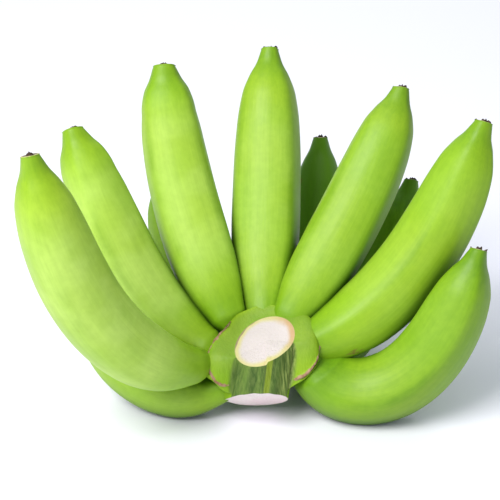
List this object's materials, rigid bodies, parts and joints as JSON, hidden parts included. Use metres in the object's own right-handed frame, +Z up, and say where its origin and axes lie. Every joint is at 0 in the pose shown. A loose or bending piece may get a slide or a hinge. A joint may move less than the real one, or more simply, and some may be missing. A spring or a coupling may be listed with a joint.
{
  "type": "hand of green plantains",
  "caption": "Hand of unripe green plantains: curved fruits in two rows on one cushioned crown, with a short cut length of the bunch stalk. Rests on its lower fruits.",
  "frame": {"origin": "on the surface the hand rests on, under the middle of its bounding box", "axes": "+Z up, +Y to the side the fruits fan out to, +X along the hand's widest side"},
  "size_m": [0.2736, 0.24, 0.2019],
  "materials": {
    "green_skin": "waxy satin fruit skin, bright yellow-green with faint lengthwise ridges, brown scuffs and a dry black-brown flower remnant at the tip",
    "crown_skin": "smooth green crown with brown bract scars, fibrous dark green stalk side and pale pinkish cream cut faces"
  },
  "bodies": {
    "root": {"finger_upper_1": "green_skin", "finger_upper_2": "green_skin", "finger_upper_3": "green_skin", "finger_upper_4": "green_skin", "finger_upper_5": "green_skin", "finger_upper_6": "green_skin", "finger_lower_1": "green_skin", "finger_lower_2": "green_skin", "finger_lower_3": "green_skin", "finger_lower_4": "green_skin", "finger_lower_5": "green_skin", "crown_stalk": "crown_skin"}
  },
  "joints": []
}
